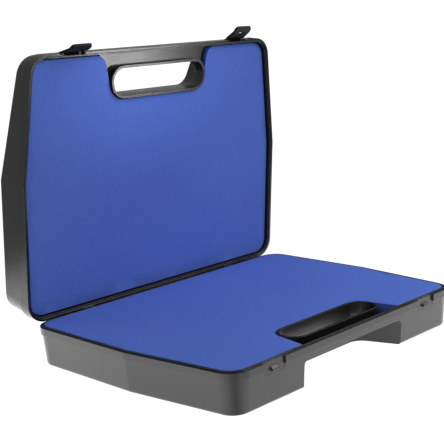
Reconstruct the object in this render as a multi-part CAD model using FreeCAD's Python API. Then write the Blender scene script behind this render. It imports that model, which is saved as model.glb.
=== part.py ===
"""Moulded carrying case with a foam lining, standing open.

Both halves are plastic shells with a rim band, joined by two pinned hinges at the
back and closed by two snap latches at the front, with half a carrying handle each.
One file is written for each piece. Lengths are in millimetres, angles in degrees.
The origin is the centre of the face that the case lies on, with the hinges at +Y.
"""
import FreeCAD, Part
import math
import os

# The outline of both halves, seen from above
case_width = 360.0
front_taper = 14.5
case_depth = 267.0
crease_setback = 142.0
corner_radius = 21.0

# Heights, measured from the plane where the halves meet
base_height = 39.7
lid_height = 44.0
lid_front_height = 23.6
lid_open_angle = 84.4

# Walls, the rim band and the lip that keeps dust out
wall_thickness = 3.2
plate_thickness = 2.6
base_band_height = 7.2
lid_band_height = 13.3
band_step = 1.0
base_draft_inset = 4.0
base_back_draft_inset = 4.0
lid_draft_inset = 2.2
lid_back_draft_inset = 4.6
far_edge_radius = 3.0
lip_width = 1.3
lip_height = 1.2
parting_gap = 0.3

# The handle: a bar across a notch in the front, with a finger hole behind it
bar_height = 12.9
shelf_thickness = 2.6
notch_reach = 47.7
notch_back_half_width = 60.3
notch_front_half_width = 74.6
notch_corner_radius = 14.0
notch_ceiling_radius = 6.0
notch_draft = 1.0
notch_wall = 2.6
bar_depth = 19.6
finger_reach = 29.4
finger_back_half_width = 61.5
finger_front_half_width = 67.0
finger_corner_radius = 14.0
finger_draft = 1.2
finger_wall = 2.4
base_ring_rise = 1.6
lid_ring_drop = 2.0

# The hinges at the back
hinge_side_setback = 75.0
hinge_axis_behind = 1.2
hinge_axis_below = 3.2
hinge_barrel_radius = 3.0
hinge_pin_radius = 1.25
hinge_bore_clearance = 0.05
base_knuckle_length = 10.0
lid_knuckle_length = 14.0
knuckle_gap = 0.4
knuckle_root = 8.5
knuckle_relief = 0.4
pin_end_inset = 0.5
stop_width = 12.0
stop_offset = 28.0
stop_reach = 9.0
stop_lip = 2.2
stop_root = 13.0
stop_clearance = 0.3

# The latches and what they snap over
latch_side_setback = 50.5
latch_width = 27.0
latch_tip_width = 24.0
latch_length = 23.0
latch_thickness = 2.4
latch_tip_bend = 2.2
latch_bend_length = 6.0
latch_tip_radius = 3.0
latch_axis_depth = 0.6
latch_axis_height = 7.0
latch_barrel_radius = 2.0
latch_barrel_length = 17.2
latch_pin_radius = 0.9
latch_bore_clearance = 0.05
latch_gap = 0.4
latch_shoulder = 3.5
left_latch_angle = 18.0
right_latch_angle = 36.0
lug_length = 3.5
lug_gap = 0.3
window_half_width = 4.7
window_clearance = 0.4
latch_recess_depth = 2.0
catch_recess_height = 13.2
nose_half_width = 4.0
nose_top = 5.0
nose_bottom = 9.2
nose_tip_height = 1.6
nose_reach = 0.4

# The foam in each half
base_foam_rise = 1.0
lid_foam_drop = 5.0
base_foam_gap = 0.6
lid_foam_gap = 1.4
foam_cut_gap = 0.8
foam_shelf_gap = 0.5

# How far a cut runs past the solid that it cuts, and the least length that counts
overrun = 2.0
tolerance = 0.01

# Lines that several pieces share
back_y = case_depth / 2
front_y = back_y - case_depth
front_half_width = case_width / 2 - front_taper
parting_z = base_height
hinge_y = back_y + hinge_axis_behind
hinge_z = parting_z - hinge_axis_below
hinge_offset = case_width / 2 - hinge_side_setback
latch_offset = front_half_width - latch_side_setback
latch_axis_y = front_y + latch_axis_depth
latch_axis_z = parting_z + parting_gap + latch_axis_height
latch_pocket_width = latch_width + 2 * latch_gap
cavity_rim_inset = band_step + wall_thickness
lip_inset = cavity_rim_inset - lip_width
wall_middle_y = back_y - band_step - wall_thickness / 2
hinge_length = 2 * base_knuckle_length + lid_knuckle_length + 2 * knuckle_gap
shelf_depth = bar_height - shelf_thickness

x_axis = FreeCAD.Vector(1, 0, 0)
hinge_point = FreeCAD.Vector(0, hinge_y, hinge_z)


def offset_corners(corners, distances):
    """Move each side of a polygon inwards by its own distance.

    Corners run anticlockwise, and a side starts at the corner with its number.
    """
    moved = []
    count = len(corners)
    for i in range(count):
        before, here, after = corners[i - 1], corners[i], corners[(i + 1) % count]
        lines = []
        for start, end, distance in ((before, here, distances[i - 1]), (here, after, distances[i])):
            run = math.hypot(end[0] - start[0], end[1] - start[1])
            normal = (-(end[1] - start[1]) / run, (end[0] - start[0]) / run)
            lines.append((normal, normal[0] * here[0] + normal[1] * here[1] + distance))
        (a, p), (b, q) = lines
        cross = a[0] * b[1] - a[1] * b[0]
        moved.append(((p * b[1] - q * a[1]) / cross, (q * a[0] - p * b[0]) / cross))
    return moved


def rounded_wire(corners, radii, z):
    """Close a polygon at height z, with an arc of its own radius at each corner."""
    joints = []
    count = len(corners)
    for i in range(count):
        before, here, after = corners[i - 1], corners[i], corners[(i + 1) % count]
        here_v = FreeCAD.Vector(here[0], here[1], z)
        back = FreeCAD.Vector(before[0], before[1], z).sub(here_v)
        ahead = FreeCAD.Vector(after[0], after[1], z).sub(here_v)
        back.normalize()
        ahead.normalize()
        if radii[i] <= tolerance:
            joints.append((here_v, None, here_v))
            continue
        half_turn = back.getAngle(ahead) / 2
        reach = radii[i] / math.tan(half_turn)
        middle = back.add(ahead).normalize()
        middle = middle.multiply(radii[i] / math.sin(half_turn) - radii[i])
        joints.append((here_v + back * reach, here_v + middle, here_v + ahead * reach))
    edges = []
    for i in range(count):
        start, middle, end = joints[i]
        if middle is not None:
            edges.append(Part.Arc(start, middle, end).toShape())
        edges.append(Part.LineSegment(end, joints[(i + 1) % count][0]).toShape())
    return Part.Wire(edges)


def case_wire(inset, z, back_inset=None):
    """The outline of a half, moved inwards by an inset, at height z.

    The side with the hinges may have an inset of its own.
    """
    if back_inset is None:
        back_inset = inset
    half, crease_y = case_width / 2, back_y - crease_setback
    corners = [(half, back_y), (-half, back_y), (-half, crease_y),
               (-front_half_width, front_y), (front_half_width, front_y), (half, crease_y)]
    insets = [back_inset] + [inset] * (len(corners) - 1)
    radius = corner_radius - inset
    return rounded_wire(offset_corners(corners, insets), [radius, radius, 0, radius, radius, 0], z)


def notch_wire(outset, z):
    """The outline of the notch under the handle, moved outwards, open past the front."""
    slope = (notch_front_half_width - notch_back_half_width) / notch_reach
    past_y, past_half = front_y - overrun, notch_front_half_width + slope * overrun
    notch_back_y = front_y + notch_reach
    corners = [(notch_back_half_width, notch_back_y), (-notch_back_half_width, notch_back_y),
               (-past_half, past_y), (past_half, past_y)]
    radius = notch_corner_radius + outset
    return rounded_wire(offset_corners(corners, [-outset] * len(corners)), [radius, radius, 0, 0], z)


def finger_corners():
    """The corners of the finger hole."""
    finger_front_y = front_y + bar_depth
    finger_back_y = finger_front_y + finger_reach
    return [(finger_back_half_width, finger_back_y), (-finger_back_half_width, finger_back_y),
            (-finger_front_half_width, finger_front_y), (finger_front_half_width, finger_front_y)]


def finger_wire(outset, z):
    """The outline of the finger hole, moved outwards."""
    corners = finger_corners()
    radii = [finger_corner_radius + outset] * len(corners)
    return rounded_wire(offset_corners(corners, [-outset] * len(corners)), radii, z)


def foam_wire(outset, z):
    """The outline of the foam's cut-out round the finger hole, open past the front."""
    corners = finger_corners()
    slope = (finger_front_half_width - finger_back_half_width) / finger_reach
    past_y, past_half = front_y - overrun, finger_front_half_width + slope * (bar_depth + overrun)
    corners[2:] = [(-past_half, past_y), (past_half, past_y)]
    radius = finger_corner_radius + outset
    return rounded_wire(offset_corners(corners, [-outset] * len(corners)), [radius, radius, 0, 0], z)


def loft(*wires):
    """A straight-sided solid through the given outlines, its flat sides true planes."""
    sides = []
    for face in Part.makeLoft(list(wires), True, True).Faces:
        if isinstance(face.Surface, Part.BSplineSurface) and face.Surface.isPlanar(tolerance):
            corners = [vertex.Point for vertex in face.OuterWire.OrderedVertexes]
            face = Part.Face(Part.makePolygon(corners + corners[:1]))
        sides.append(face)
    shell = Part.Shell(sides)
    shell.sewShape()
    solid = Part.Solid(shell)
    if solid.Volume < 0:
        solid.reverse()
    return solid


def prism_z(wire, height):
    """Extrude an outline straight up."""
    return Part.Face(wire).extrude(FreeCAD.Vector(0, 0, height))


def prism_x(points, x_start, length):
    """Extrude a polygon of (y, z) points along X."""
    corners = [FreeCAD.Vector(x_start, y, z) for y, z in points]
    face = Part.Face(Part.makePolygon(corners + corners[:1]))
    return face.extrude(FreeCAD.Vector(length, 0, 0))


def rod_x(radius, length, y, z, x_centre):
    """A round bar along X, centred on x_centre."""
    return Part.makeCylinder(radius, length, FreeCAD.Vector(x_centre - length / 2, y, z), x_axis)


def block(x_centre, width, y_low, y_high, z_low, z_high):
    """A rectangular block between the given faces."""
    corner = FreeCAD.Vector(x_centre - width / 2, y_low, z_low)
    return Part.makeBox(width, y_high - y_low, z_high - z_low, corner)


def fall_cut(height, front_height):
    """What lies above the plate that falls from the crease to the handle side."""
    slope = (height - front_height) / (case_depth - crease_setback)
    crease_y, past_y = back_y - crease_setback, front_y - overrun
    past_height = front_height - slope * overrun
    points = [(crease_y, height), (past_y, past_height), (past_y, height + overrun),
              (crease_y, height + overrun)]
    return prism_x(points, -case_width, 2 * case_width)


def far_edges(solid, height, front_height):
    """The edges round the far plate, without the fold across it."""
    slope = (height - front_height) / (case_depth - crease_setback)
    found = []
    for edge in solid.Edges:
        middle = edge.valueAt((edge.FirstParameter + edge.LastParameter) / 2)
        ends = [vertex.Point for vertex in edge.Vertexes] + [middle]
        on_plate = True
        for point in ends:
            fall = max(0, back_y - point.y - crease_setback) * slope
            on_plate = on_plate and abs(point.z - (height - fall)) < tolerance * overrun
        across = abs(middle.y - (back_y - crease_setback)) < tolerance and edge.Length > front_half_width
        if on_plate and not across:
            found.append(edge)
    return found


def outer_form(height, front_height, band_height, draft_inset, back_draft_inset):
    """The outside of a half, with its rim band at z = 0 and its plate at z = height."""
    body = loft(case_wire(band_step, 0), case_wire(draft_inset, height, back_draft_inset))
    if front_height < height:
        body = body.cut(fall_cut(height, front_height))
    body = body.makeFillet(far_edge_radius, far_edges(body, height, front_height))
    return body.fuse(prism_z(case_wire(0, 0), band_height))


def inner_form(height, front_height, draft_inset, back_draft_inset, gap, rim_z):
    """The hollow of a half, drawn in by a gap, from rim_z to the inside of the plate."""
    inward = wall_thickness + gap
    far_wire = case_wire(draft_inset + inward, height - plate_thickness, back_draft_inset + inward)
    hollow = loft(case_wire(cavity_rim_inset + gap, rim_z), far_wire)
    if front_height < height:
        hollow = hollow.cut(fall_cut(height - plate_thickness, front_height - plate_thickness))
    return hollow


def half_shell(height, front_height, band_height, draft_inset, back_draft_inset, ring_z):
    """A shell with its handle, its rim at z = 0 and its plate at z = height.

    The wall round the finger hole starts at ring_z.
    """
    outer = outer_form(height, front_height, band_height, draft_inset, back_draft_inset)
    shell = outer.cut(inner_form(height, front_height, draft_inset, back_draft_inset, 0, -tolerance))
    pocket = loft(notch_wire(notch_wall, shelf_depth), notch_wire(notch_wall + notch_draft, height))
    shell = shell.fuse(pocket.common(outer))
    shell = shell.fuse(prism_z(finger_wire(finger_wall, ring_z), bar_height - ring_z))
    notch = loft(notch_wire(0, bar_height), notch_wire(notch_draft, height + overrun))
    ceiling = [edge for edge in notch.Edges
               if edge.BoundBox.ZMax < bar_height + tolerance
               and edge.BoundBox.YMax > front_y]
    shell = shell.cut(notch.makeFillet(notch_ceiling_radius, ceiling))
    mouth = finger_draft * overrun / shelf_depth
    hole = loft(finger_wire(mouth, -overrun), finger_wire(-finger_draft, shelf_depth))
    return shell.cut(hole).cut(prism_z(finger_wire(-finger_draft, 0), bar_height + notch_ceiling_radius))


def as_base(shape):
    """Turn a half that was drawn rim down over so that its plate lies on the ground."""
    turned = shape.mirror(FreeCAD.Vector(0, 0, 0), FreeCAD.Vector(0, 0, 1))
    turned.translate(FreeCAD.Vector(0, 0, parting_z))
    return turned


def as_lid(shape):
    """Set a half down on the rim of the base, closed."""
    moved = shape.copy()
    moved.translate(FreeCAD.Vector(0, 0, parting_z + parting_gap))
    return moved


def opened(shape):
    """Swing a closed lid piece up to where it stands."""
    swung = shape.copy()
    swung.rotate(hinge_point, x_axis, -lid_open_angle)
    return swung


def open_point(y, z):
    """Where a point of the closed lid is once the lid stands open."""
    turn = math.radians(lid_open_angle)
    dy, dz = y - hinge_y, z - hinge_z
    return (hinge_y + dy * math.cos(turn) + dz * math.sin(turn),
            hinge_z - dy * math.sin(turn) + dz * math.cos(turn))


def knuckle(length, x_centre, root_z):
    """A hinge barrel with its root on the back wall, which runs to root_z."""
    root = prism_x([(wall_middle_y, hinge_z), (hinge_y, hinge_z - hinge_barrel_radius),
                    (hinge_y + hinge_barrel_radius, hinge_z), (back_y, root_z),
                    (wall_middle_y, root_z)], x_centre - length / 2, length)
    if root_z > hinge_z:
        root = prism_x([(hinge_y - hinge_barrel_radius, hinge_z), (hinge_y + hinge_barrel_radius, hinge_z),
                        (hinge_y, root_z), (back_y - band_step, root_z),
                        (back_y - band_step, parting_z + parting_gap),
                        (hinge_y - hinge_barrel_radius, parting_z + parting_gap)],
                       x_centre - length / 2, length)
    return rod_x(hinge_barrel_radius, length, hinge_y, hinge_z, x_centre).fuse(root)


def hinge_bore(x_centre):
    """The hole for a hinge pin through all its knuckles."""
    return rod_x(hinge_pin_radius + hinge_bore_clearance, hinge_length + overrun, hinge_y, hinge_z, x_centre)


def open_stop(x_centre):
    """A ledge on the back of the base that the lid's back wall comes to rest on."""
    lid_foot = parting_z + parting_gap
    near_y, near_z = open_point(back_y, lid_foot)
    far_y, far_z = open_point(back_y, lid_foot + stop_reach)
    slope = (far_z - near_z) / (far_y - near_y)
    top = near_z - stop_clearance
    inner_y, outer_y = wall_middle_y, far_y
    points = [(inner_y, top + slope * (inner_y - near_y)), (outer_y, top + slope * (outer_y - near_y)),
              (outer_y, top - stop_lip), (back_y, top - stop_root), (inner_y, top - stop_root)]
    return prism_x(points, x_centre - stop_width / 2, stop_width)


def catch_recess(x_centre):
    """The shallow recess in the front of the base that a latch drops into."""
    return block(x_centre, latch_pocket_width, front_y - overrun, front_y + latch_recess_depth,
                 parting_z - catch_recess_height, parting_z + overrun)


def catch_nose(x_centre):
    """The wedge that a latch snaps over."""
    root_y, tip_y = front_y + latch_recess_depth + tolerance, front_y - nose_reach
    points = [(root_y, parting_z - nose_top), (tip_y, parting_z - nose_bottom + nose_tip_height),
              (tip_y, parting_z - nose_bottom), (root_y, parting_z - nose_bottom)]
    return prism_x(points, x_centre - nose_half_width, 2 * nose_half_width)


def base_shell():
    """The lower shell, with its lip, outer knuckles, stops and catches."""
    shell = as_base(half_shell(base_height, base_height, base_band_height, base_draft_inset,
                               base_back_draft_inset, -base_ring_rise))
    lip_low = parting_z - lip_height
    lip = prism_z(case_wire(lip_inset, lip_low), 2 * lip_height)
    inside = prism_z(case_wire(cavity_rim_inset, lip_low - overrun), 2 * (lip_height + overrun))
    shell = shell.fuse(lip.cut(inside))
    lid_space = lid_knuckle_length + 2 * knuckle_gap
    relief = hinge_barrel_radius + knuckle_relief
    for side in (-1, 1):
        centre = side * hinge_offset
        shell = shell.cut(block(centre, lid_space, hinge_y - relief, back_y + overrun,
                                hinge_z - relief, parting_z + overrun))
        for end in (-1, 1):
            place = centre + end * (lid_space + base_knuckle_length) / 2
            shell = shell.fuse(knuckle(base_knuckle_length, place, hinge_z - knuckle_root))
            shell = shell.fuse(open_stop(centre + end * stop_offset))
        shell = shell.cut(hinge_bore(centre))
        shell = shell.cut(catch_recess(side * latch_offset))
        shell = shell.fuse(catch_nose(side * latch_offset))
    return shell.removeSplitter()


def latch_pocket(x_centre):
    """The recess in the front of the lid that a latch hangs in."""
    inner_y, top_z = front_y + latch_recess_depth, latch_axis_z - latch_shoulder + latch_gap
    low_z = parting_z + parting_gap - overrun
    plate = block(x_centre, latch_pocket_width, front_y - overrun, inner_y, low_z, top_z)
    neck_width = latch_barrel_length + 2 * lug_gap
    neck = block(x_centre, neck_width, front_y - overrun, inner_y, low_z, latch_axis_z)
    barrel = rod_x(latch_barrel_radius + latch_gap, neck_width, latch_axis_y, latch_axis_z, x_centre)
    return plate.fuse(neck).fuse(barrel)


def latch_bore(x_centre):
    """The hole for a latch pin."""
    length = latch_barrel_length + 2 * (lug_length + lug_gap) + overrun
    return rod_x(latch_pin_radius + latch_bore_clearance, length, latch_axis_y, latch_axis_z, x_centre)


def lid_shell():
    """The upper shell, with its rebate, middle knuckles and latch lugs, still closed."""
    shell = as_lid(half_shell(lid_height, lid_front_height, lid_band_height, lid_draft_inset,
                              lid_back_draft_inset, lid_ring_drop))
    rim_z = parting_z + parting_gap
    rebate = prism_z(case_wire(lip_inset - parting_gap, rim_z - overrun), overrun + lip_height)
    inner = prism_z(case_wire(cavity_rim_inset + lip_width, rim_z - overrun), overrun + lip_height)
    shell = shell.cut(rebate.cut(inner))
    for side in (-1, 1):
        centre = side * hinge_offset
        shell = shell.fuse(knuckle(lid_knuckle_length, centre, parting_z + knuckle_root))
        shell = shell.cut(hinge_bore(centre))
        shell = shell.cut(latch_pocket(side * latch_offset))
        for end in (-1, 1):
            place = side * latch_offset + end * (latch_barrel_length / 2 + lug_gap + lug_length / 2)
            shell = shell.fuse(rod_x(latch_barrel_radius, lug_length, latch_axis_y, latch_axis_z, place))
        shell = shell.cut(latch_bore(side * latch_offset))
    return shell.removeSplitter()


def hinge_pin(x_centre):
    """A plain steel pin through a hinge."""
    return rod_x(hinge_pin_radius, hinge_length - 2 * pin_end_inset, hinge_y, hinge_z, x_centre)


def latch_pin(x_centre):
    """A plain steel pin through a latch and its lugs."""
    length = latch_barrel_length + 2 * (lug_length + lug_gap) - 2 * pin_end_inset
    return rod_x(latch_pin_radius, length, latch_axis_y, latch_axis_z, x_centre)


def latch(x_centre):
    """A snap latch, drawn as it hangs when it is fastened."""
    inner_y = front_y + latch_recess_depth - latch_gap
    outer_y = inner_y - latch_thickness
    bend_z = latch_axis_z - latch_length + latch_bend_length
    tip_z = latch_axis_z - latch_length
    top_z = latch_axis_z - latch_shoulder
    plate = prism_x([(inner_y, top_z), (outer_y, top_z), (outer_y, bend_z),
                     (outer_y - latch_tip_bend, tip_z), (inner_y - latch_tip_bend, tip_z),
                     (inner_y, bend_z)], x_centre - latch_width / 2, latch_width)
    half, tip_half = latch_width / 2, latch_tip_width / 2
    outline = rounded_wire([(half, top_z), (-half, top_z), (-tip_half, tip_z), (tip_half, tip_z)],
                           [0, 0, latch_tip_radius, latch_tip_radius], 0)
    form = Part.Face(outline).extrude(FreeCAD.Vector(0, 0, latch_width))
    form.rotate(FreeCAD.Vector(0, 0, 0), x_axis, math.degrees(math.pi / 2))
    form.translate(FreeCAD.Vector(x_centre, latch_axis_y + latch_width / 2, 0))
    plate = plate.common(form)
    neck = block(x_centre, latch_barrel_length, outer_y, inner_y, top_z - tolerance, latch_axis_z)
    barrel = rod_x(latch_barrel_radius, latch_barrel_length, latch_axis_y, latch_axis_z, x_centre)
    window_top = parting_z - nose_top + window_clearance
    window_low = parting_z - nose_bottom - window_clearance
    window = block(x_centre, 2 * window_half_width, outer_y - overrun, inner_y + overrun,
                   window_low, window_top)
    solid = plate.fuse(neck).fuse(barrel).cut(window).cut(latch_bore(x_centre))
    return solid.removeSplitter()


def swung_latch(x_centre, angle):
    """A latch flipped outwards by an angle on its pin, the lid still closed."""
    turned = latch(x_centre)
    turned.rotate(FreeCAD.Vector(0, latch_axis_y, latch_axis_z), x_axis, -angle)
    return turned


def foam_block(height, front_height, draft_inset, back_draft_inset, drop, gap):
    """The foam of a half, cut out round the handle, its face a drop below the rim."""
    foam = inner_form(height, front_height, draft_inset, back_draft_inset, gap, drop)
    cut = finger_wall + foam_cut_gap
    round_ring = prism_z(foam_wire(cut, -overrun), height + overrun)
    cut = notch_wall + notch_draft + foam_cut_gap
    round_notch = prism_z(notch_wire(cut, shelf_depth - foam_shelf_gap), height)
    return foam.cut(round_ring).cut(round_notch)


def write(shape, name):
    """Write one piece, after a check that it is whole."""
    if not shape.isValid():
        raise ValueError(name + " is not a valid solid")
    shape.exportStep("parts/" + name + ".step")
    print(name, len(shape.Solids), "solid", round(shape.Volume), "mm3")


os.makedirs("parts", exist_ok=True)
write(base_shell(), "base_shell")
write(opened(lid_shell()), "lid_shell")
base_foam = foam_block(base_height, base_height, base_draft_inset, base_back_draft_inset,
                       -base_foam_rise, base_foam_gap)
write(as_base(base_foam), "base_foam")
lid_foam = foam_block(lid_height, lid_front_height, lid_draft_inset, lid_back_draft_inset,
                      lid_foam_drop, lid_foam_gap)
write(opened(as_lid(lid_foam)), "lid_foam")
for name, side, angle in (("left", -1, left_latch_angle), ("right", 1, right_latch_angle)):
    write(hinge_pin(side * hinge_offset), "hinge_pin_" + name)
    write(opened(latch_pin(side * latch_offset)), "latch_pin_" + name)
    write(opened(swung_latch(side * latch_offset, angle)), "latch_" + name)
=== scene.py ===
"""Looks of the hard case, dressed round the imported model.

The shells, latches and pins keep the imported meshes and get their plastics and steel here.
The two foam linings are finished here, with soft uneven faces, and stand for their solids.
Lengths are in metres.
"""
import bpy
import math
from mathutils import Matrix, Vector


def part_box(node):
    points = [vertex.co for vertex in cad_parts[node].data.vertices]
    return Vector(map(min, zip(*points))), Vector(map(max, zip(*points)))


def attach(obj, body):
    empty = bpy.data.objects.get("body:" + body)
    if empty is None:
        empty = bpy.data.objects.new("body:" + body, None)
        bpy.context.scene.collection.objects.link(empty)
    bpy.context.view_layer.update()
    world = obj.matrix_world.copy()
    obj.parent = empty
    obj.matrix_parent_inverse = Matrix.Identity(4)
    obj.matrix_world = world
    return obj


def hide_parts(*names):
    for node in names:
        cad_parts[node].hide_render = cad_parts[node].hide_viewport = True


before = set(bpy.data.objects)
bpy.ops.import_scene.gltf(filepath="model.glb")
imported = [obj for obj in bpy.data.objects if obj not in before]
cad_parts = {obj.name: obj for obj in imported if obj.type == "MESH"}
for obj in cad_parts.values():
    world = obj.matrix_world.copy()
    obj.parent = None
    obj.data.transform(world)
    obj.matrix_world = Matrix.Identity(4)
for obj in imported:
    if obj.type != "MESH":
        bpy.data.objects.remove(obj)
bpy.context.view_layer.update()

# The photograph's camera
CAMERA_AZIMUTH = math.radians(-44.682)
CAMERA_ELEVATION = math.radians(11.410)
CAMERA_ROLL = math.radians(-3.363)
CAMERA_DISTANCE = 1.075260
CAMERA_TARGET = Vector((0.025266, 0.063020, 0.114310))
CAMERA_NEAR, CAMERA_FAR = 0.01, 100
SENSOR_WIDTH = 36.0
CAMERA_LENS = 81.16

# The foam linings, which lie in the base and stand in the lid opened by its hinge
LID_OPEN_ANGLE = math.radians(84.4)
FOAM_EDGE_RADIUS = 0.0014
FOAM_EDGE_STEPS = 3
FOAM_EDGE_ANGLE = math.radians(30)
FOAM_GRID = 0.012
FOAM_UNEVENNESS = 0.0006
FOAM_SWELL_SIZE = 0.045
FOAM_SMOOTH_ANGLE = math.radians(40)
MERGE_DISTANCE = 0.000002
FLAT_ANGLE = math.radians(0.5)

# The two corners of the lid's foam beside the handle; the ledge below its face turns tighter
LID_FOAM_CORNER = 0.010
CORNER_STEPS = 6
HANDLE_REACH = 0.09
LEDGE_REACH = 0.075
LEDGE_SHARE = 0.54
BAR_DEPTH = 0.004
UPRIGHT_COSINE = 0.95

# The finishes
# The paler edge colours are partly wear and partly a painted highlight along the edges
BLACK_SHELL, SHELL_EDGE_WEAR_AND_HIGHLIGHT = (0.009, 0.009, 0.0095), (0.055, 0.055, 0.057)
BLACK_LATCH, LATCH_EDGE_WEAR_AND_HIGHLIGHT = (0.008, 0.008, 0.009), (0.024, 0.024, 0.025)
DARK_WIRE, PALE_WIRE = (0.42, 0.43, 0.45), (0.66, 0.67, 0.69)
WIRE_STRETCH = (40, 2200, 2200)
WIRE_ROUGHNESS, WIRE_ROUGHNESS_SWING = 0.2, 0.25
DEEP_BLUE, PALE_BLUE = (0.09, 0.161, 0.568), (0.111, 0.195, 0.65)
BLOOM_BLUE = (0.14, 0.25, 1.0, 1)
CELL_SCALE, MOTTLE_SCALE, CLOUD_SCALE = 1100.0, 320.0, 9.0
CELL_SHARE = 0.5
PORE_DEPTH = 0.00022
SHADE_SPAN = (0.8, 1.7)
EDGE_SAMPLES = 6
WEAR_AND_HIGHLIGHT_GAIN = 6.0
TONE_SPAN = (0.3, 0.7)
PLASTIC_ROUGHNESS_SWING = 0.04

# The studio, whose directions round a corner are shares of a full turn
UP, TO_THE_CAMERA_SIDE = (0, 0, 1), (0, -1, 0)
WHITE = (1, 1, 1, 1)
CORNER_OFFSET = (0.5, 0.5, 0)
DIM_DIRECTION = 0.66
DIM_HALF_WIDTH = 0.125
FLOOR_FADE = (-0.30, -0.16)
FLOOR_LOSS = 0.75


# Shader pieces that several finishes share
def put(links, value, socket):
    """Set a socket to a number, or link another socket to it."""
    if isinstance(value, (int, float)):
        socket.default_value = value
    else:
        links.new(value, socket)


def new_group(name, inputs, outputs):
    """An empty shader node group with plain value sockets."""
    group = bpy.data.node_groups.new(name, "ShaderNodeTree")
    for label, value in inputs:
        socket = group.interface.new_socket(label, in_out="INPUT", socket_type="NodeSocketFloat")
        socket.default_value = value
    for label in outputs:
        group.interface.new_socket(label, in_out="OUTPUT", socket_type="NodeSocketFloat")
    return group, group.nodes.new("NodeGroupInput"), group.nodes.new("NodeGroupOutput")


def new_material(name):
    """A plain material, with its nodes, its links and its shader."""
    material = bpy.data.materials.new(name)
    material.use_nodes = True
    tree = material.node_tree
    return material, tree.nodes, tree.links, tree.nodes["Principled BSDF"]


def math_node(nodes, links, operation, *values):
    """The result of a Math node whose inputs are sockets or numbers."""
    node = nodes.new("ShaderNodeMath")
    node.operation = operation
    for socket, value in zip(node.inputs, values):
        put(links, value, socket)
    return node.outputs[0]


def noise(nodes, links, place, scale, **settings):
    """A noise over a place, with a scale and settings by the names of their sockets."""
    node = nodes.new("ShaderNodeTexNoise")
    links.new(place, node.inputs["Vector"])
    put(links, scale, node.inputs["Scale"])
    for label, value in settings.items():
        node.inputs[label].default_value = value
    return node.outputs["Fac"]


def map_range(nodes, links, value, start, end):
    """A Map Range node that turns one range of values into another."""
    node = nodes.new("ShaderNodeMapRange")
    for label, number in zip(("From Min", "From Max", "To Min", "To Max"), (*start, *end)):
        node.inputs[label].default_value = number
    links.new(value, node.inputs["Value"])
    return node


def rounded_normal(nodes, links, radius):
    """The normal as it is with every edge rounded by a radius."""
    node = nodes.new("ShaderNodeBevel")
    node.samples = EDGE_SAMPLES
    put(links, radius, node.inputs["Radius"])
    return node.outputs["Normal"]


def mix_colour(nodes, links, share, first, second):
    """A colour mix by a share that changes over the surface."""
    node = nodes.new("ShaderNodeMix")
    node.data_type = "RGBA"
    node.clamp_factor = True
    links.new(share, node.inputs["Factor"])
    node.inputs["A"].default_value = (*first, 1)
    node.inputs["B"].default_value = (*second, 1)
    return node.outputs["Result"]


def make_grain_group():
    """Spark-eroded mould grain: a fine pebble height with a slower tone change."""
    group, entry, out = new_group(
        "mould_grain", [("Grain Scale", 900.0), ("Tone Scale", 14.0)], ["Height", "Tone"])
    nodes, links = group.nodes, group.links
    place = nodes.new("ShaderNodeTexCoord").outputs["Object"]
    pebbles = noise(nodes, links, place, entry.outputs["Grain Scale"], Detail=2.5, Roughness=0.55)
    slow = noise(nodes, links, place, entry.outputs["Tone Scale"], Detail=3.0)
    links.new(pebbles, out.inputs["Height"])
    links.new(slow, out.inputs["Tone"])
    return group


def make_edge_wear_and_highlight_group():
    """Where an outside edge is paler from wear and from a painted highlight: the turn between the plain
    and the rounded normal.
    """
    group, entry, out = new_group("edge_wear_and_highlight_mask", [("Radius", 0.0008), ("Patchiness", 60.0)], ["Wear"])
    nodes, links = group.nodes, group.links
    agree = nodes.new("ShaderNodeVectorMath")
    agree.operation = "DOT_PRODUCT"
    links.new(rounded_normal(nodes, links, entry.outputs["Radius"]), agree.inputs[0])
    links.new(nodes.new("ShaderNodeNewGeometry").outputs["Normal"], agree.inputs[1])
    turn = math_node(nodes, links, "SUBTRACT", 1.0, agree.outputs["Value"])
    place = nodes.new("ShaderNodeTexCoord").outputs["Object"]
    spots = noise(nodes, links, place, entry.outputs["Patchiness"], Detail=4.0)
    # Patchy paleness along edges: partly wear, partly a painted highlight
    worn_and_highlit = math_node(nodes, links, "MULTIPLY", turn, spots)
    wear_and_highlight = math_node(nodes, links, "MULTIPLY", worn_and_highlit, WEAR_AND_HIGHLIGHT_GAIN)
    wear_and_highlight.node.use_clamp = True
    links.new(wear_and_highlight, out.inputs["Wear"])
    return group


def moulded_plastic(name, body, edge_wear_and_highlight_colour, rough, gloss, grain_scale, grain_depth, edge_radius, wear_and_highlight_width):
    """Grained black plastic, slightly uneven in its shine, with its edges painted paler for wear and for a
    highlight.
    """
    material, nodes, links, shader = new_material(name)
    shader.inputs["Specular IOR Level"].default_value = gloss
    grain = nodes.new("ShaderNodeGroup")
    grain.node_tree = grain_group
    grain.inputs["Grain Scale"].default_value = grain_scale
    edges = nodes.new("ShaderNodeGroup")
    edges.node_tree = edge_wear_and_highlight_group
    edges.inputs["Radius"].default_value = wear_and_highlight_width
    # The edges turn paler, partly as wear and partly as a painted highlight
    links.new(mix_colour(nodes, links, edges.outputs["Wear"], body, edge_wear_and_highlight_colour), shader.inputs["Base Color"])
    shine = map_range(nodes, links, grain.outputs["Tone"], TONE_SPAN,
                      (rough - PLASTIC_ROUGHNESS_SWING, rough + PLASTIC_ROUGHNESS_SWING))
    links.new(shine.outputs["Result"], shader.inputs["Roughness"])
    bump = nodes.new("ShaderNodeBump")
    bump.inputs["Strength"].default_value = 1.0
    bump.inputs["Distance"].default_value = grain_depth
    links.new(grain.outputs["Height"], bump.inputs["Height"])
    links.new(rounded_normal(nodes, links, edge_radius), bump.inputs["Normal"])
    links.new(bump.outputs["Normal"], shader.inputs["Normal"])
    return material


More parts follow.
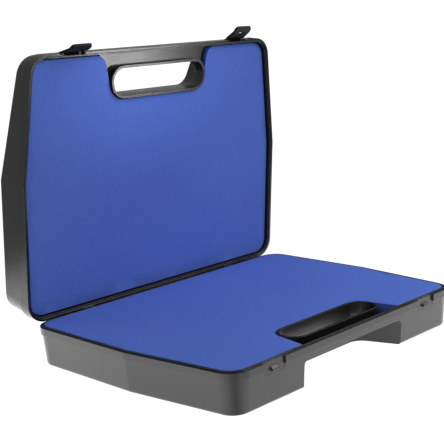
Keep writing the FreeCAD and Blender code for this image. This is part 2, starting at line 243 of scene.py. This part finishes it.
def drawn_steel(name):
    """Drawn wire: fine rings of roughness along a pin that lies along X."""
    material, nodes, links, shader = new_material(name)
    shader.inputs["Metallic"].default_value = 1.0
    stretch = nodes.new("ShaderNodeMapping")
    stretch.inputs["Scale"].default_value = WIRE_STRETCH
    links.new(nodes.new("ShaderNodeTexCoord").outputs["Object"], stretch.inputs["Vector"])
    lines = noise(nodes, links, stretch.outputs["Vector"], 1.0)
    links.new(mix_colour(nodes, links, lines, DARK_WIRE, PALE_WIRE), shader.inputs["Base Color"])
    rough = math_node(nodes, links, "MULTIPLY_ADD", lines, WIRE_ROUGHNESS_SWING, WIRE_ROUGHNESS)
    links.new(rough, shader.inputs["Roughness"])
    return material


def cut_foam(name):
    """Blue foam with fine open cells, a soft bloom at a glance and slow shade changes."""
    material, nodes, links, shader = new_material(name)
    shader.inputs["Roughness"].default_value = 0.95
    shader.inputs["Specular IOR Level"].default_value = 0.03
    shader.inputs["Sheen Weight"].default_value = 0.06
    shader.inputs["Sheen Roughness"].default_value = 0.5
    shader.inputs["Sheen Tint"].default_value = BLOOM_BLUE
    place = nodes.new("ShaderNodeTexCoord").outputs["Object"]
    cells = nodes.new("ShaderNodeTexVoronoi")
    cells.inputs["Scale"].default_value = CELL_SCALE
    links.new(place, cells.inputs["Vector"])
    mottle = noise(nodes, links, place, MOTTLE_SCALE, Detail=3.0)
    cloud = noise(nodes, links, place, CLOUD_SCALE)
    share = math_node(nodes, links, "MULTIPLY", cells.outputs["Distance"], CELL_SHARE)
    share = math_node(nodes, links, "ADD", share, mottle)
    share = math_node(nodes, links, "ADD", share, cloud)
    spread = map_range(nodes, links, share, SHADE_SPAN, (0.0, 1.0))
    blue = mix_colour(nodes, links, spread.outputs["Result"], DEEP_BLUE, PALE_BLUE)
    links.new(blue, shader.inputs["Base Color"])
    bump = nodes.new("ShaderNodeBump")
    bump.inputs["Distance"].default_value = PORE_DEPTH
    pores = math_node(nodes, links, "ADD", cells.outputs["Distance"], mottle)
    links.new(pores, bump.inputs["Height"])
    links.new(bump.outputs["Normal"], shader.inputs["Normal"])
    return material


grain_group = make_grain_group()
edge_wear_and_highlight_group = make_edge_wear_and_highlight_group()
shell_plastic = moulded_plastic(
    "shell_plastic", BLACK_SHELL, SHELL_EDGE_WEAR_AND_HIGHLIGHT, rough=0.29, gloss=0.5,
    grain_scale=900.0, grain_depth=0.00005, edge_radius=0.0009, wear_and_highlight_width=0.0004)
latch_plastic = moulded_plastic(
    "latch_plastic", BLACK_LATCH, LATCH_EDGE_WEAR_AND_HIGHLIGHT, rough=0.5, gloss=0.15,
    grain_scale=1500.0, grain_depth=0.00003, edge_radius=0.0004, wear_and_highlight_width=0.0003)
pin_steel = drawn_steel("pin_steel")
lining_foam = cut_foam("lining_foam")

finishes = {"base_shell": shell_plastic, "lid_shell": shell_plastic,
            "latch_left": latch_plastic, "latch_right": latch_plastic,
            "hinge_pin_left": pin_steel, "hinge_pin_right": pin_steel,
            "latch_pin_left": pin_steel, "latch_pin_right": pin_steel}
for node, finish in finishes.items():
    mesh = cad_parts[node].data
    mesh.materials.clear()
    mesh.materials.append(finish)


# The foam linings
def cut_across(start, step, count, direction):
    """Divide the mesh in edit mode by evenly spaced planes."""
    for i in range(count):
        bpy.ops.mesh.select_all(action="SELECT")
        bpy.ops.mesh.bisect(plane_co=start + direction * (step * (i + 1)), plane_no=direction)


def round_handle_corners(lining, up_the_face, radius):
    """Round the two corners where the foam meets the bar on either side of the handle."""
    mesh = lining.data
    facing = up_the_face.cross(Vector((1, 0, 0)))
    top = max(vertex.co.dot(up_the_face) for vertex in mesh.vertices)
    share = mesh.attributes.new("bevel_weight_edge", "FLOAT", "EDGE")
    for edge in mesh.edges:
        first, second = (mesh.vertices[i].co for i in edge.vertices)
        reach = max(abs(first.x), abs(second.x))
        upright = abs((second - first).normalized().dot(facing)) > UPRIGHT_COSINE
        at_bar = min(first.dot(up_the_face), second.dot(up_the_face)) > top - BAR_DEPTH
        if upright and at_bar and reach < HANDLE_REACH:
            share.data[edge.index].value = 1.0 if reach < LEDGE_REACH else LEDGE_SHARE
    corners = lining.modifiers.new("round_corners", "BEVEL")
    corners.width, corners.segments, corners.limit_method = radius, CORNER_STEPS, "WEIGHT"
    corners.use_clamp_overlap = False
    bpy.ops.object.modifier_apply(modifier=corners.name)


def foam_lining(name, node, body, up_the_face, corner_radius=0):
    """A block of foam with soft edges and slightly uneven faces, in place of its solid."""
    low, high = (Vector(corner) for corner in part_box(node))
    bpy.ops.object.select_all(action="DESELECT")
    lining = bpy.data.objects.new(name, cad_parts[node].data.copy())
    bpy.context.scene.collection.objects.link(lining)
    lining.data.materials.clear()
    lining.data.materials.append(lining_foam)
    lining.select_set(True)
    bpy.context.view_layer.objects.active = lining
    bpy.ops.object.mode_set(mode="EDIT")
    bpy.ops.mesh.select_all(action="SELECT")
    bpy.ops.mesh.remove_doubles(threshold=MERGE_DISTANCE)
    bpy.ops.mesh.dissolve_limited(angle_limit=FLAT_ANGLE)
    bpy.ops.object.mode_set(mode="OBJECT")
    if corner_radius:
        round_handle_corners(lining, up_the_face, corner_radius)
    edges = lining.modifiers.new("soft_edges", "BEVEL")
    edges.width, edges.segments = FOAM_EDGE_RADIUS, FOAM_EDGE_STEPS
    edges.limit_method, edges.angle_limit = "ANGLE", FOAM_EDGE_ANGLE
    bpy.ops.object.modifier_apply(modifier=edges.name)
    bpy.ops.object.mode_set(mode="EDIT")
    across = Vector((1, 0, 0))
    cut_across(low, FOAM_GRID, int((high - low).x / FOAM_GRID), across)
    cut_across(low, FOAM_GRID, int((high - low).dot(up_the_face) / FOAM_GRID), up_the_face)
    bpy.ops.object.mode_set(mode="OBJECT")
    swell = bpy.data.textures.new(name + "_swell", "CLOUDS")
    swell.noise_scale = FOAM_SWELL_SIZE
    uneven = lining.modifiers.new("uneven_face", "DISPLACE")
    uneven.texture, uneven.texture_coords = swell, "LOCAL"
    uneven.strength, uneven.mid_level = FOAM_UNEVENNESS, 0.5
    bpy.ops.object.modifier_apply(modifier=uneven.name)
    bpy.ops.object.shade_smooth_by_angle(angle=FOAM_SMOOTH_ANGLE)
    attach(lining, body)
    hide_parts(node)


up_the_lid = Vector((0, -math.cos(LID_OPEN_ANGLE), math.sin(LID_OPEN_ANGLE)))
foam_lining("base_foam_lining", "base_foam", "base", Vector((0, 1, 0)))
foam_lining("lid_foam_lining", "lid_foam", "lid", up_the_lid, LID_FOAM_CORNER)


# Studio: the camera, boards that the plastic reflects, a white backdrop and two soft panels
def studio_camera():
    """The photograph's camera, with its small roll."""
    a, e, r = CAMERA_AZIMUTH, CAMERA_ELEVATION, CAMERA_ROLL
    back = Vector((math.sin(a) * math.cos(e), -math.cos(a) * math.cos(e), math.sin(e)))
    level = (-back).cross(Vector((0, 0, 1))).normalized()
    upright = level.cross(-back)
    across = math.cos(r) * level + math.sin(r) * upright
    up = -math.sin(r) * level + math.cos(r) * upright
    camera = bpy.data.objects.new("studio_camera", bpy.data.cameras.new("studio_camera"))
    camera.data.sensor_width = SENSOR_WIDTH
    camera.data.lens = CAMERA_LENS
    camera.data.clip_start, camera.data.clip_end = CAMERA_NEAR, CAMERA_FAR
    turn = Matrix((across, up, back)).transposed()
    camera.matrix_world = Matrix.Translation(CAMERA_TARGET + back * CAMERA_DISTANCE) @ turn.to_4x4()
    bpy.context.scene.collection.objects.link(camera)
    bpy.context.scene.camera = camera


def soft_panel(name, place, aim, width, height, power, fan=180):
    """A soft light that faces a point, whose light fans out by an angle in degrees."""
    light = bpy.data.lights.new(name, "AREA")
    light.shape = "RECTANGLE"
    light.spread = math.radians(fan)
    light.size, light.size_y, light.energy = width, height, power
    panel = bpy.data.objects.new(name, light)
    panel.location = place
    panel.rotation_euler = (Vector(aim) - Vector(place)).to_track_quat("-Z", "Y").to_euler()
    bpy.context.scene.collection.objects.link(panel)


def studio_board(name, width, depth, place, facing, shade, glow):
    """A board that the plastic reflects, and that neither the camera nor the foam sees."""
    bpy.ops.object.select_all(action="DESELECT")
    turn = Vector(facing).to_track_quat("Z", "Y").to_euler()
    bpy.ops.mesh.primitive_plane_add(size=1, location=place, rotation=turn)
    board = bpy.context.object
    board.name = name
    board.scale = (width, depth, 1)
    board.visible_camera = False
    board.visible_diffuse = False
    board.visible_shadow = False
    material, nodes, links, shader = new_material(name)
    shader.inputs["Base Color"].default_value = (shade, shade, shade, 1)
    shader.inputs["Roughness"].default_value = 0.9
    shader.inputs["Emission Color"].default_value = WHITE
    shader.inputs["Emission Strength"].default_value = glow
    board.data.materials.append(material)
    return board


def dim_diagonal(board, middle, sides):
    """Dim a board's glow softly along a line that leads away from its corner at the case."""
    tree = board.data.materials[0].node_tree
    nodes, links = tree.nodes, tree.links
    place = nodes.new("ShaderNodeMapping")
    place.inputs["Location"].default_value = CORNER_OFFSET
    links.new(nodes.new("ShaderNodeTexCoord").outputs["Object"], place.inputs["Vector"])
    turn = nodes.new("ShaderNodeTexGradient")
    turn.gradient_type = "RADIAL"
    links.new(place.outputs["Vector"], turn.inputs["Vector"])
    off = math_node(nodes, links, "SUBTRACT", turn.outputs["Fac"], DIM_DIRECTION)
    off = math_node(nodes, links, "ABSOLUTE", off)
    glow = map_range(nodes, links, off, (0.0, DIM_HALF_WIDTH), (middle, sides))
    glow.interpolation_type = "SMOOTHSTEP"
    links.new(glow.outputs["Result"], nodes["Principled BSDF"].inputs["Emission Strength"])


def surround(backdrop, room):
    """A white backdrop for the camera, and a dimmer room, with a dark floor in reflections."""
    world = bpy.data.worlds.new("surround")
    world.use_nodes = True
    nodes, links = world.node_tree.nodes, world.node_tree.links
    dim = nodes["Background"]
    dim.inputs["Color"].default_value = WHITE
    height = nodes.new("ShaderNodeSeparateXYZ")
    links.new(nodes.new("ShaderNodeTexCoord").outputs["Generated"], height.inputs[0])
    fade = map_range(nodes, links, height.outputs["Z"], FLOOR_FADE, (FLOOR_LOSS, 0.0))
    path = nodes.new("ShaderNodeLightPath")
    lost = math_node(nodes, links, "MULTIPLY", fade.outputs["Result"], path.outputs["Is Glossy Ray"])
    kept = math_node(nodes, links, "SUBTRACT", 1.0, lost)
    links.new(math_node(nodes, links, "MULTIPLY", kept, room), dim.inputs["Strength"])
    white = nodes.new("ShaderNodeBackground")
    white.inputs["Color"].default_value = WHITE
    white.inputs["Strength"].default_value = backdrop
    seen = nodes.new("ShaderNodeMixShader")
    links.new(path.outputs["Is Camera Ray"], seen.inputs[0])
    links.new(dim.outputs[0], seen.inputs[1])
    links.new(white.outputs[0], seen.inputs[2])
    links.new(seen.outputs[0], nodes["World Output"].inputs["Surface"])
    bpy.context.scene.world = world


studio_camera()
studio_board("lit_table", width=0.72, depth=0.66, place=(0.18, 0.08, 0), facing=UP, shade=0.9, glow=1.42)
studio_board("lit_table_left", width=0.6, depth=0.6, place=(-0.45, 0.165, 0.0005), facing=UP,
             shade=0.9, glow=1.95)
camera_side = studio_board("camera_side", width=0.6, depth=0.525, place=(-0.449, -0.3775, 0.001),
                           facing=UP, shade=0.3, glow=1)
dim_diagonal(camera_side, middle=0.9, sides=2.0)
studio_board("dark_flag", width=0.7, depth=0.7, place=(0.58, 0.2, 0.2), facing=TO_THE_CAMERA_SIDE,
             shade=0.01, glow=0)
surround(backdrop=1.1, room=0.42)
soft_panel("key_panel", place=(0.62, -0.64, 0.93), aim=(0, 0.05, 0.1), width=0.8, height=0.8, power=7.6)
soft_panel("low_panel", place=(0.4, -0.48, 0.18), aim=(-0.06, 0.15, 0.3), width=0.1, height=0.06,
           power=0.027, fan=20)
bpy.context.scene.view_settings.view_transform = "Standard"
